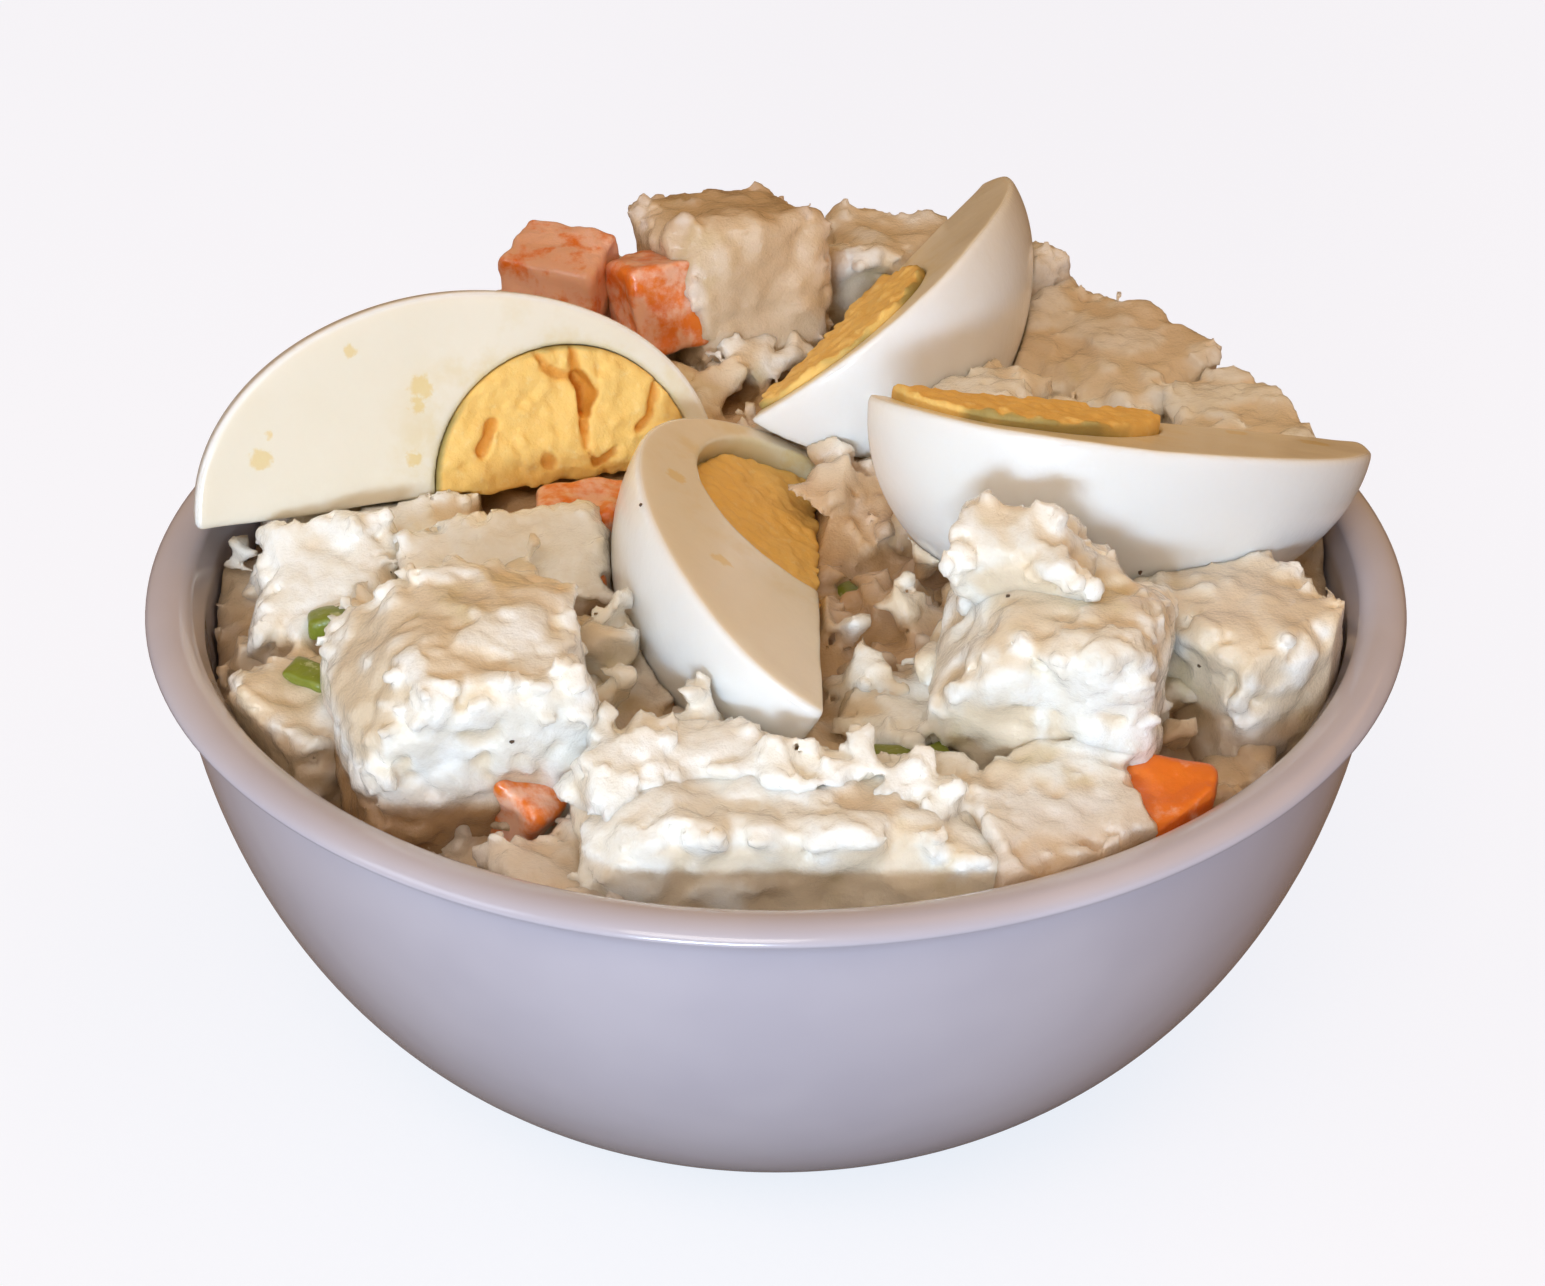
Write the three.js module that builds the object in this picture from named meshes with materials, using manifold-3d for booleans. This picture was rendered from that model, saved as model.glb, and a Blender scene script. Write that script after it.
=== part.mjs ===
// A round bowl heaped with potato salad and topped with four quarters of boiled egg.
// Millimetres, +Z up. The origin is the middle of the bowl's foot, on the surface it stands on.
// Seen from the front, the eye is at -Y and looks along +Y.
import * as THREE from "three";
import { mergeVertices } from "three/addons/utils/BufferGeometryUtils.js";
import Module from "manifold-3d";

const wasm = await Module();
wasm.setup();

// ---------------------------------------------------------------- driving dimensions

const RIM_RADIUS = 65; // outside of the lip, half of a 130 mm bowl
const BOWL_HEIGHT = 53;
const FOOT_RADIUS = 29;
const WALL = 3;
const FLOOR = 4.5; // thickness of the bowl's bottom
const SHOULDER_RADIUS = 62.3; // outside of the wall, just under the lip
const LIP_HEIGHT = 2.6; // from the shoulder to the top of the rounded lip
const WALL_SQUARENESS = 1.89; // exponent of the wall's curve: 2 is an ellipse
const ROUND_SEGMENTS = 48;
const WALL_STEPS = 7;

const GAP = 0.3; // clearance between neighbouring solids
const SEED = 7;

// The bare surface of the salad under its pieces: a low dome, higher towards the back.
const EDGE_LEVEL = 46;
const DOME_RISE = 11;
const BACK_RISE = 6;
const DIP = { at: [10, -5], reach: 9, depth: 6 }; // the shaded hollow beside the front egg

// Each quarter of egg: the middle of its long straight edge, the direction of that edge
// towards the yolk, the direction from it to the shell side of the first cut face, the
// egg's length, its radius, how blunt the yolk end is, the angle between the two cut faces,
// and how far the yolk stands out of each cut (or sinks below it).
const EGGS = [
  { at: [-32.8, 5.6, 56.3], axis: [0.937, 0.346, -0.041], rise: [-0.069, 0.302, 0.951],
    length: 56.6, radius: 21.2, blunt: 0.0, angle: 90, yolkLift: [0.4, 0.2] },
  { at: [4.5, -9.7, 55.7], axis: [0.002, 0.998, -0.055], rise: [-0.864, 0.03, 0.503],
    length: 55.2, radius: 21, blunt: 0.19, angle: 92, yolkLift: [-2.4, 1.2] },
  { at: [35.6, 4.9, 65.7], axis: [-0.953, -0.214, 0.216], rise: [0.272, -0.916, 0.294],
    length: 55.4, radius: 20.5, blunt: 0.09, angle: 89, yolkLift: [1.2, 0.2] },
  { at: [10.8, 38.1, 63.5], axis: [-0.535, -0.826, -0.177], rise: [0.597, -0.518, 0.613],
    length: 51.7, radius: 18.4, blunt: 0.25, angle: 60, yolkLift: [0.6, 0.2] },
];
const YOLK_RADIUS = 14.4;
const YOLK_OFFSET = 0.4; // of half the egg's length, towards the blunt end
const LEAST_WHITE = 2.2; // thinnest white between yolk and shell side

// Pieces of the salad that show: place, half sizes and turn about Z then X, in degrees.
const POTATOES = [
  { at: [-29, -32, 53], half: [13, 11.5, 12.5], turn: [14, 6] }, // big cube, front left
  { at: [-45, -8, 49], half: [8.5, 8, 8], turn: [30, -10] },
  { at: [-45.5, -25, 45], half: [7.5, 8.5, 7.5], turn: [50, 12] },
  { at: [1, -46.5, 46], half: [19.5, 8.5, 9.5], turn: [-2, 4] }, // long slab at the front rim
  { at: [25.5, -28, 56.5], half: [12, 11, 11.5], turn: [-12, 8] }, // big cube, front right
  { at: [46, -18, 50], half: [9, 10, 9], turn: [35, 0] },
  { at: [26, -44.5, 46.5], half: [10, 7.5, 7.5], turn: [28, 14] },
  { at: [-5, 41, 63], half: [9.5, 9, 11], turn: [22, -8] }, // tallest, at the back
  { at: [13.5, 50, 56.5], half: [8.5, 7.5, 9.5], turn: [-10, 0] },
  { at: [37, 34, 51.5], half: [12.5, 10.5, 9.5], turn: [-35, 10] },
  { at: [51, 19, 52], half: [8.5, 10, 8], turn: [10, 0] },
  { at: [-22, 37, 55], half: [12, 9.5, 9.5], turn: [40, 8] },
  { at: [-14.5, -26, 46], half: [5.5, 6, 6], turn: [20, 20] },
  { at: [11.5, -28.5, 47.5], half: [6.5, 5.5, 6], turn: [60, 0] },
  { at: [14.5, -12, 44], half: [6.5, 6, 6], turn: [15, 25] },
  { at: [-27, -3, 51], half: [9, 5.5, 5.5], turn: [5, 10] },
  { at: [-19, -48.5, 44], half: [6.5, 5.5, 5.5], turn: [25, 10] },
  { at: [24, 46, 55], half: [9, 8, 10], turn: [30, -10] }, // carries the egg at the back
  { at: [20, 6, 55.5], half: [8, 7.5, 7], turn: [-20, 10] }, // carries the egg at the right
];
const LARGE_PIECE = 9.6; // half size from which a potato gets more sides
const CARROTS = [
  { at: [36.5, -41, 48], half: [4.4, 4.4, 5.2], turn: [-14, 8] }, // bright cube by the front rim
  { at: [-23, -40.5, 49], half: [4.2, 4, 4.4], turn: [30, 20] },
  { at: [-19.5, 1.5, 54.5], half: [5, 3.8, 4.2], turn: [15, 0] },
  { at: [-19.5, -6, 52], half: [2, 3.6, 4], turn: [10, 10] },
  { at: [-25.5, 37, 66.5], half: [5.6, 4.6, 5.2], turn: [-20, 10] },
  { at: [-12.5, 34, 65], half: [5.4, 4.6, 5], turn: [25, -15] },
];
const CELERY = [
  { at: [-45.5, -24, 52.5], half: [3.2, 1.9, 1.6], turn: [-30, 10] },
  { at: [-44.5, -16.5, 54.5], half: [2.4, 1.7, 1.5], turn: [10, 0] },
  { at: [8.5, -36.5, 52.2], half: [3.2, 1.5, 1.5], turn: [-8, 0] },
  { at: [14, -37, 51.2], half: [2.4, 1.7, 1.7], turn: [30, 20] },
  { at: [8.5, -4, 49.5], half: [2.6, 2.4, 2.2], turn: [40, 10] },
  { at: [-46, -33, 45], half: [3, 1.6, 1.6], turn: [50, 0] },
  { at: [-17, -14.5, 50], half: [2.6, 1.6, 1.6], turn: [80, 0] },
  { at: [-12, -33.5, 50.5], half: [2.8, 1.6, 1.5], turn: [10, 15] },
];
// Cut pieces round the sides and back, laid out by rule where none of the above lies.
const FILLER_PLACES = 64;
const FILLER_REACH = 54; // radius of the outermost filler piece
const FILLER_START = 26; // and of the innermost
const FILLER_CLEARANCE = 15; // least distance from the long edge of an egg
const FILLER_HALF = [6.5, 9.5]; // smallest and largest half size

// ---------------------------------------------------------------- shape helpers

const degrees = THREE.MathUtils.degToRad;

// A repeatable stream of numbers from 0 to 1.
function stream(seed) {
  let state = seed * 7919 + 1;
  return () => {
    state = (state * 16807) % 2147483647;
    return state / 2147483647;
  };
}

// The closed surface of a geometry as a solid.
function solid(geometry) {
  const bare = geometry.clone();
  bare.deleteAttribute("normal");
  bare.deleteAttribute("uv");
  const merged = mergeVertices(bare, 1e-3);
  const corners = merged.index.array;
  const kept = [];
  for (let i = 0; i < corners.length; i += 3) {
    const [a, b, c] = corners.slice(i, i + 3);
    if (a !== b && b !== c && c !== a) kept.push(a, b, c);
  }
  return new wasm.Manifold(
    new wasm.Mesh({
      numProp: 3,
      vertProperties: merged.attributes.position.array,
      triVerts: Uint32Array.from(kept),
    }),
  );
}

// The largest body of a solid: loose scraps go, and sealed hollows are filled.
function mainBody(shape) {
  return shape.decompose().reduce((a, b) => (b.volume() > a.volume() ? b : a));
}

// A solid as a named mesh.
function part(name, shape, finish) {
  const mesh = shape.getMesh();
  const geometry = new THREE.BufferGeometry();
  geometry.setAttribute("position", new THREE.BufferAttribute(mesh.vertProperties, 3));
  geometry.setIndex(new THREE.BufferAttribute(mesh.triVerts, 1));
  const made = new THREE.Mesh(geometry, new THREE.MeshStandardMaterial(finish));
  made.name = name;
  return made;
}

// A profile of [radius, height] points turned round Z.
function turned(profile, segments = ROUND_SEGMENTS) {
  const points = profile.map(([r, z]) => new THREE.Vector2(r, z));
  return new THREE.LatheGeometry(points, segments).rotateX(Math.PI / 2);
}

// ---------------------------------------------------------------- bowl

// The wall's curve from foot to shoulder, moved inwards by a thickness.
function wallPoint(share, inset, floor) {
  const angle = (share * Math.PI) / 2;
  const power = 2 / WALL_SQUARENESS;
  const foot = FOOT_RADIUS - inset / 2;
  const top = BOWL_HEIGHT - LIP_HEIGHT;
  const radius = foot + (SHOULDER_RADIUS - inset - foot) * Math.sin(angle) ** power;
  const height = floor + (top - floor) * (1 - Math.cos(angle) ** power);
  return [radius, height];
}

function shares(count) {
  return Array.from({ length: count + 1 }, (_, i) => i / count);
}

function bowlShape() {
  const outside = shares(WALL_STEPS).map((s) => wallPoint(s, 0, 0));
  const inside = shares(WALL_STEPS).map((s) => wallPoint(1 - s, WALL, FLOOR));
  const lipMiddle = (RIM_RADIUS + SHOULDER_RADIUS - WALL) / 2 + 0.4;
  const lipHalf = RIM_RADIUS - lipMiddle;
  const lip = shares(5).map((s) => [
    lipMiddle + lipHalf * Math.cos(Math.PI * s),
    BOWL_HEIGHT - LIP_HEIGHT / 2 + (LIP_HEIGHT / 2) * Math.sin(Math.PI * s),
  ]);
  return solid(turned([[0, 0], ...outside, ...lip, ...inside, [0, FLOOR]]));
}

// The space the salad may fill: the bowl's inside, and straight up above the lip.
function roomShape() {
  const wall = shares(WALL_STEPS).map((s) => wallPoint(s, WALL + GAP, FLOOR + GAP));
  const opening = wall[wall.length - 1][0];
  const above = 2 * BOWL_HEIGHT;
  const profile = [[0, FLOOR + GAP], ...wall, [opening, above], [0, above]];
  return solid(turned(profile, ROUND_SEGMENTS / 2));
}

// ---------------------------------------------------------------- boiled egg

// The egg's long axis lies along X, with its blunt end at +X.
function eggBody({ length, radius, blunt }, extra = 0) {
  const half = length / 2 + extra;
  const profile = shares(14).map((s) => {
    const along = -Math.cos(Math.PI * s);
    const across = Math.sqrt(Math.max(0, 1 - along * along)) * (1 + blunt * along);
    return new THREE.Vector2((radius + extra) * across, half * along);
  });
  return solid(new THREE.LatheGeometry(profile, 32).rotateZ(-Math.PI / 2));
}

// The space between the two cuts, each moved outwards by its own margin.
function cutSpace({ length, radius, angle }, [first, second] = [0, 0]) {
  const turn = degrees(angle);
  const corner = [-(second + first * Math.cos(turn)) / Math.sin(turn), first];
  const reach = 2 * radius;
  const outline = new THREE.Shape([
    new THREE.Vector2(...corner),
    new THREE.Vector2(
      corner[0] + reach * Math.cos(turn),
      corner[1] - reach * Math.sin(turn),
    ),
    new THREE.Vector2(1.5 * reach * Math.cos(turn / 2), -1.5 * reach * Math.sin(turn / 2)),
    new THREE.Vector2(reach, first),
  ]);
  const depth = 1.5 * length;
  const prism = new THREE.ExtrudeGeometry(outline, { depth, bevelEnabled: false });
  prism.translate(0, 0, -depth / 2);
  const across = new THREE.Matrix4().makeBasis(
    new THREE.Vector3(0, 1, 0),
    new THREE.Vector3(0, 0, 1),
    new THREE.Vector3(1, 0, 0),
  );
  return solid(prism.applyMatrix4(across));
}

function yolkBall(egg, extra = 0) {
  const middle = (YOLK_OFFSET * egg.length) / 2;
  const radius = Math.min(YOLK_RADIUS, egg.radius - 2 * LEAST_WHITE) + extra;
  const ball = new THREE.SphereGeometry(radius, 20, 12).rotateZ(Math.PI / 2);
  return solid(ball.translate(middle, 0, 0)).intersect(eggBody(egg, extra - LEAST_WHITE));
}

function eggPlace({ at, axis, rise }) {
  const along = new THREE.Vector3(...axis).normalize();
  const up = new THREE.Vector3(...rise);
  up.addScaledVector(along, -up.dot(along)).normalize();
  const across = new THREE.Vector3().crossVectors(along, up);
  const place = new THREE.Matrix4().makeBasis(along, up, across);
  return place.setPosition(...at).toArray();
}

function eggShapes(egg) {
  const place = eggPlace(egg);
  const white = eggBody(egg).intersect(cutSpace(egg)).subtract(yolkBall(egg, GAP));
  const yolk = yolkBall(egg).intersect(cutSpace(egg, egg.yolkLift));
  const margins = egg.yolkLift.map((lift) => Math.max(0, lift) + GAP);
  const bed = eggBody(egg, GAP).intersect(cutSpace(egg, margins));
  return {
    white: mainBody(white).transform(place),
    yolk: mainBody(yolk).transform(place),
    bed: bed.transform(place),
  };
}

// ---------------------------------------------------------------- salad

// Height of the bare salad at a place.
function level(x, y) {
  const radius = Math.hypot(x, y) / SHOULDER_RADIUS;
  const waves =
    1.1 * Math.sin(x * 0.21 + 1) * Math.cos(y * 0.19) + 0.7 * Math.sin(y * 0.33 - x * 0.12);
  const away = Math.hypot(x - DIP.at[0], y - DIP.at[1]) / DIP.reach;
  const dome = DOME_RISE * (1 - radius * radius) + (BACK_RISE * y) / SHOULDER_RADIUS;
  return EDGE_LEVEL + dome + waves - DIP.depth * Math.exp(-away * away);
}

function coreShape() {
  const outer = SHOULDER_RADIUS + WALL;
  const rings = 8;
  const top = shares(rings).map((s) => [outer * (1 - s), EDGE_LEVEL]);
  const geometry = turned([[0, 0], [outer, 0], ...top], 32);
  const points = geometry.attributes.position;
  for (let i = 0; i < points.count; i++)
    if (points.getZ(i) > EDGE_LEVEL / 2) points.setZ(i, level(points.getX(i), points.getY(i)));
  return solid(geometry);
}

// A lump with six rough sides: square is how boxy it is, rough how craggy.
function lump({ at, half, turn }, { detail, square, rough, phase }) {
  const geometry = new THREE.IcosahedronGeometry(1, detail);
  const points = geometry.attributes.position;
  const way = new THREE.Vector3();
  for (let i = 0; i < points.count; i++) {
    way.fromBufferAttribute(points, i).normalize();
    const sum = way
      .toArray()
      .reduce((total, value, k) => total + Math.abs(value / half[k]) ** square, 0);
    const crags =
      Math.sin(5.1 * way.x + 3 * phase) * Math.sin(4.7 * way.y + phase) +
      Math.sin(6.3 * way.z + 2 * phase) * Math.cos(5.5 * way.x - 3.9 * way.y);
    way.multiplyScalar(sum ** (-1 / square) * (1 + rough * crags));
    points.setXYZ(i, way.x, way.y, way.z);
  }
  geometry.rotateX(degrees(turn[1])).rotateZ(degrees(turn[0])).translate(...at);
  return solid(geometry);
}

// Distance from a place to the long edge of an egg, seen from above.
function besideEgg({ at, axis, length }, x, y) {
  const along = (x - at[0]) * axis[0] + (y - at[1]) * axis[1];
  const near = THREE.MathUtils.clamp(along, -length / 2, length / 2);
  return Math.hypot(x - at[0] - near * axis[0], y - at[1] - near * axis[1]);
}

// Filler pieces on a spiral, each where no named piece and no egg already shows.
function fillers() {
  const draw = stream(SEED);
  const taken = [...POTATOES, ...CARROTS].map(({ at, half }) => ({ at, reach: half[0] }));
  const found = [];
  for (let i = 0; i < FILLER_PLACES; i++) {
    const radius = FILLER_REACH * Math.sqrt((i + 0.5) / FILLER_PLACES);
    const bearing = i * Math.PI * (3 - Math.sqrt(5));
    const [x, y] = [radius * Math.cos(bearing), radius * Math.sin(bearing)];
    const half = [0, 1, 2].map(() => FILLER_HALF[0] + (FILLER_HALF[1] - FILLER_HALF[0]) * draw());
    const turn = [180 * draw(), 50 * draw() - 25];
    const apart = ({ at, reach }) => Math.hypot(at[0] - x, at[1] - y) > 0.75 * (reach + half[0]);
    const clear = (egg) => besideEgg(egg, x, y) > FILLER_CLEARANCE;
    if (radius < FILLER_START || !taken.every(apart) || !EGGS.every(clear)) continue;
    const at = [x, y, level(x, y) - 1.5];
    taken.push({ at, reach: half[0] });
    found.push({ at, half, turn });
  }
  return found;
}

function isLarge({ half }) {
  return half[0] > LARGE_PIECE;
}

function saladShape(beds) {
  const kinds = [
    { pieces: POTATOES.filter(isLarge), detail: 3, square: 4.2, rough: 0.055 },
    { pieces: POTATOES.filter((piece) => !isLarge(piece)), detail: 2, square: 3.8, rough: 0.06 },
    { pieces: fillers(), detail: 2, square: 3.6, rough: 0.07 },
    { pieces: CARROTS, detail: 1, square: 6, rough: 0.02 },
    { pieces: CELERY, detail: 1, square: 4, rough: 0.03 },
  ];
  let salad = coreShape();
  kinds.forEach(({ pieces, ...form }) =>
    pieces.forEach((piece, i) => {
      salad = salad.add(lump(piece, { ...form, phase: i }));
    }),
  );
  beds.forEach((bed) => {
    salad = salad.subtract(bed);
  });
  return mainBody(salad.intersect(roomShape()));
}

// ---------------------------------------------------------------- the whole

const group = new THREE.Group();
group.add(part("bowl", bowlShape(), { color: 0xc6c6dc, roughness: 0.18, metalness: 0 }));

const eggs = EGGS.map(eggShapes);
eggs.forEach(({ white, yolk }, i) => {
  group.add(part(`egg_white_${i + 1}`, white, { color: 0xeceae2, roughness: 0.3, metalness: 0 }));
  group.add(part(`egg_yolk_${i + 1}`, yolk, { color: 0xeab54f, roughness: 0.75, metalness: 0 }));
});

const salad = saladShape(eggs.map(({ bed }) => bed));
group.add(part("salad_heap", salad, { color: 0xe6dccb, roughness: 0.5, metalness: 0 }));

export default group;
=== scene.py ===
"""A round bowl heaped with potato salad and topped with four quarters of boiled egg.

Sizes are in millimetres, +Z up, with the origin in the middle of the bowl's foot. Every form is
worked out as a field of distances on a block of points, and its surface is drawn where the
distance is zero. The fields are joined, cut and roughened before the surface is drawn.
"""
from dataclasses import dataclass
from itertools import combinations
from math import ceil, cos, hypot, pi, radians, sin, sqrt

import bpy
import numpy as np
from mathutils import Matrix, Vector


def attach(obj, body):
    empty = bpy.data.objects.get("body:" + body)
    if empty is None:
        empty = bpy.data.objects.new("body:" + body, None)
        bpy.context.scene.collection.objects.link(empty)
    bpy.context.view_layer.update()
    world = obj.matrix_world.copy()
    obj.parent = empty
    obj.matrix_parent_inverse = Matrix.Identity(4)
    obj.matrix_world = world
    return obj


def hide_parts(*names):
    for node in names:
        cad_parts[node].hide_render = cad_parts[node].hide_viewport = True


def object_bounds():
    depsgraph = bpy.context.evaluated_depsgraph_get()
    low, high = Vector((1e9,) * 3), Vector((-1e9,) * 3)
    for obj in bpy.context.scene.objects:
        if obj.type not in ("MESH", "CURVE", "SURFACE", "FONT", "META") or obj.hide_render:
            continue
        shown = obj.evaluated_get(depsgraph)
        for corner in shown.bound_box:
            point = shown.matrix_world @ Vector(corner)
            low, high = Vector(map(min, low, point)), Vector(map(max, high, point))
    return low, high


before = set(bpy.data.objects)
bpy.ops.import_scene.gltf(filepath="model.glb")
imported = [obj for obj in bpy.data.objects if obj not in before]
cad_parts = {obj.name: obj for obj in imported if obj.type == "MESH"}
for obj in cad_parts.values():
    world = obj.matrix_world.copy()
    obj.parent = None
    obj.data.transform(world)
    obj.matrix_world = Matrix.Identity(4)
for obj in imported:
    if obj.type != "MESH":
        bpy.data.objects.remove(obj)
cad_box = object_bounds()

MM = 0.001

# ---- sizes shared with the solids

RIM_RADIUS = 65.0
BOWL_HEIGHT = 53.0
FOOT_RADIUS = 29.0
WALL = 3.0
FLOOR = 4.5
SHOULDER_RADIUS = 62.3
LIP_HEIGHT = 2.6
LIP_SHIFT = 0.4  # of the lip's middle, outwards from the middle of the wall
WALL_SQUARENESS = 1.89
GAP = 0.3
SEED = 7

EDGE_LEVEL = 46.0
DOME_RISE = 11.0
BACK_RISE = 6.0
DIP_AT = (10.0, -5.0)
DIP_REACH = 9.0
DIP_DEPTH = 6.0


@dataclass
class Egg:
    """A quarter of an egg, placed as in the solids."""

    at: tuple  # the middle of its long straight edge
    axis: tuple  # along that edge, towards the yolk's end
    rise: tuple  # on the first cut face, from that edge to the shell
    length: float
    radius: float
    blunt: float  # how much wider the yolk's end is
    angle: float  # between the two cut faces, in degrees
    lift: tuple  # how far the yolk stands out of each cut face
    smears: list  # rubbed-off yolk on the first cut face: x, y and radius


@dataclass
class Part:
    """A cut cube of potato, carrot or celery."""

    at: tuple
    half: tuple  # half its sizes
    turn: tuple  # about Z and then about its own X, in degrees
    coat: float = 0.5  # how much of the mealy dressing it carries
    crown: float = 0.6  # how much more of that lies on top of it
    wet_coat_and_shade: float = 0.6  # how strongly painted shade darkens its low sides by the wall and its back
    shaved: tuple = ()  # planes that slice it: direction and distance from its middle


EGGS = [
    Egg(at=(-32.8, 5.6, 56.3), axis=(0.937, 0.346, -0.041), rise=(-0.069, 0.302, 0.951),
         length=56.6, radius=21.2, blunt=0.0, angle=90, lift=(0.4, 0.2),
         smears=[(-10.5, 16.5, 0.6), (-3.5, 11.8, 1.2), (-4.2, 10, 0.8), (-21, 6.5, 1.0),
                 (-5, 4.3, 0.8), (-20, 9, 0.5)]),
    Egg(at=(4.5, -9.7, 55.7), axis=(0.002, 0.998, -0.055), rise=(-0.864, 0.03, 0.503),
         length=55.2, radius=21.0, blunt=0.19, angle=92, lift=(-2.2, 1.2),
         smears=[(23.4, 2, 2.0), (-8, 11.5, 0.9), (5, 17, 1.0)]),
    Egg(at=(35.6, 4.9, 65.7), axis=(-0.953, -0.214, 0.216), rise=(0.272, -0.916, 0.294),
         length=55.4, radius=20.5, blunt=0.09, angle=89, lift=(1.2, 0.2),
         smears=[(-12, 3, 1.2), (-20, 5, 1.5)]),
    Egg(at=(10.8, 38.1, 63.5), axis=(-0.535, -0.826, -0.177), rise=(0.597, -0.518, 0.613),
         length=51.7, radius=18.4, blunt=0.25, angle=60, lift=(0.6, 0.2),
         smears=[(14, 8, 1.2)]),
]
# Cracks in the first egg's yolk: points along each, its width and its depth.
CRACKS = [
    ([(9, 14), (10, 12), (11.5, 11.1), (13.3, 10.8)], 0.4, 0.7),
    ([(13, 14.5), (13.3, 10.8), (13.6, 6.6), (13.6, 3.1), (14.6, 1.4), (16.6, 2.4)], 0.4, 0.8),
    ([(13.3, 10.6), (14.4, 8.9), (13.8, 7.2)], 0.9, 2.0),
    ([(21.8, 9), (21.2, 7), (21, 5.5), (19.8, 4.6)], 0.5, 0.9),
    ([(3.4, 6.9), (3, 5.6), (2.2, 4.2)], 0.7, 0.8),
    ([(9.3, 2.4), (9.6, 2)], 0.6, 0.7),
]
YOLK_RADIUS = 14.4
YOLK_OFFSET = 0.4
LEAST_WHITE = 2.2

POTATOES = [
    Part((-30, -31.5, 52.7), (12, 11, 12), (14, 6), coat=1.15, crown=-1.3, wet_coat_and_shade=1.5,
         shaved=[((-0.6, -0.2, 0.75), 12.0), ((0.5, -0.6, -0.6), 13.5)]),
    Part((-45, -8, 49), (8.5, 8, 8), (5, 24), coat=1.0, crown=0.0),
    Part((-45.5, -25, 45), (7.5, 8.5, 7.5), (50, 12), coat=0.3),
    Part((1, -46.4, 46), (19.5, 7.2, 9.3), (-2, 0), coat=0.1, crown=1.3, wet_coat_and_shade=0.0,
         shaved=[((0.45, 0.1, 0.85), 13.5), ((-0.5, -0.2, 0.8), 15.0)]),
    Part((26.3, -28, 55.8), (11, 10.5, 11), (-12, 8), coat=0.62, crown=-0.5,
         shaved=[((0.6, 0.25, 0.75), 12.5), ((-0.8, 0.0, 0.6), 10.5),
                 ((-0.7, -0.3, -0.6), 12.5)]),
    Part((46, -18, 50), (9, 10, 9), (35, 0), coat=0.4, crown=-1.0),
    Part((24.5, -44.5, 46.5), (9, 7.5, 7.5), (28, 14), coat=0.3, wet_coat_and_shade=1.6),
    Part((-5, 41, 62.4), (9.5, 9, 11), (22, -8), coat=-0.3, crown=0.3, wet_coat_and_shade=1.2),
    Part((13.5, 50, 56.5), (8.5, 7.5, 9.5), (-10, 0), coat=0.1),
    Part((37, 34, 51.5), (12.5, 10.5, 9.5), (-35, 10), coat=0.3),
    Part((51, 19, 52), (8.5, 10, 8), (10, 0), coat=0.2),
    Part((-22, 37, 55), (12, 9.5, 9.5), (40, 8), coat=0.2),
    Part((-14.5, -26, 46), (5.5, 6, 6), (20, 20), coat=0.2),
    Part((11.5, -28.5, 47.5), (6.5, 5.5, 6), (60, 0), coat=0.5),
    Part((14.5, -12, 44), (6.5, 6, 6), (15, 25), coat=0.1),
    Part((-28, -6, 52), (11, 6.5, 6), (5, 20), coat=1.1),
    Part((-19, -48.5, 44), (6.5, 5.5, 5.5), (25, 10), coat=0.1),
    Part((24, 46, 55), (9, 8, 10), (30, -10), coat=0.2),
    Part((20.5, 6, 54.5), (7, 7, 6.5), (-20, 10), coat=0.0),
]
# Smaller pieces that lie between and on top of the others.
SHARDS = [
    Part((-13.5, -21, 48.5), (4.5, 5.5, 5.5), (15, 20), coat=0.8),
    Part((-9, -40.5, 51.8), (8.5, 4, 5), (8, 14), coat=0.8),
    Part((13, -41.5, 50), (6.5, 3.5, 4.2), (-12, 10), coat=0.7),
    Part((-37.5, 3, 51.3), (7, 6.5, 5.5), (10, 15), coat=0.8),
    Part((24.2, -25.3, 65.8), (7, 4.6, 5), (-16, 24), coat=0.5,
         shaved=[((0.7, 0.0, 0.7), 5.5)]),
    Part((-14, -43.5, 54), (4, 3, 3), (30, 25), coat=0.9),
    Part((3.5, -42.8, 54.6), (5.5, 3, 2.8), (15, 30), coat=0.9),
    Part((13.5, -45.5, 53.5), (3.5, 2.6, 2.6), (-25, 20), coat=0.8),
    Part((29, -39.5, 51.5), (4, 3, 3.2), (10, 25), coat=1.0),
]
LARGE_PIECE = 9.6
CARROTS = [
    Part((35.2, -42.3, 46.8), (5, 4.8, 6.4), (-14, 8), coat=0.2),
    Part((-23.8, -39.9, 48.6), (2.8, 3.0, 3.4), (55, 30), coat=0.6),
    Part((-19.5, 1.5, 54.2), (5, 3.8, 4.1), (15, 0), coat=0.6),
    Part((-19.5, -6, 52), (2, 3.6, 4), (10, 10), coat=0.5),
    Part((-24, 37, 65.7), (5.6, 4.6, 5), (-20, 10), coat=0.85),
    Part((-12.5, 34, 65), (5.4, 4.6, 5), (25, -15), coat=0.6),
]
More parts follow.
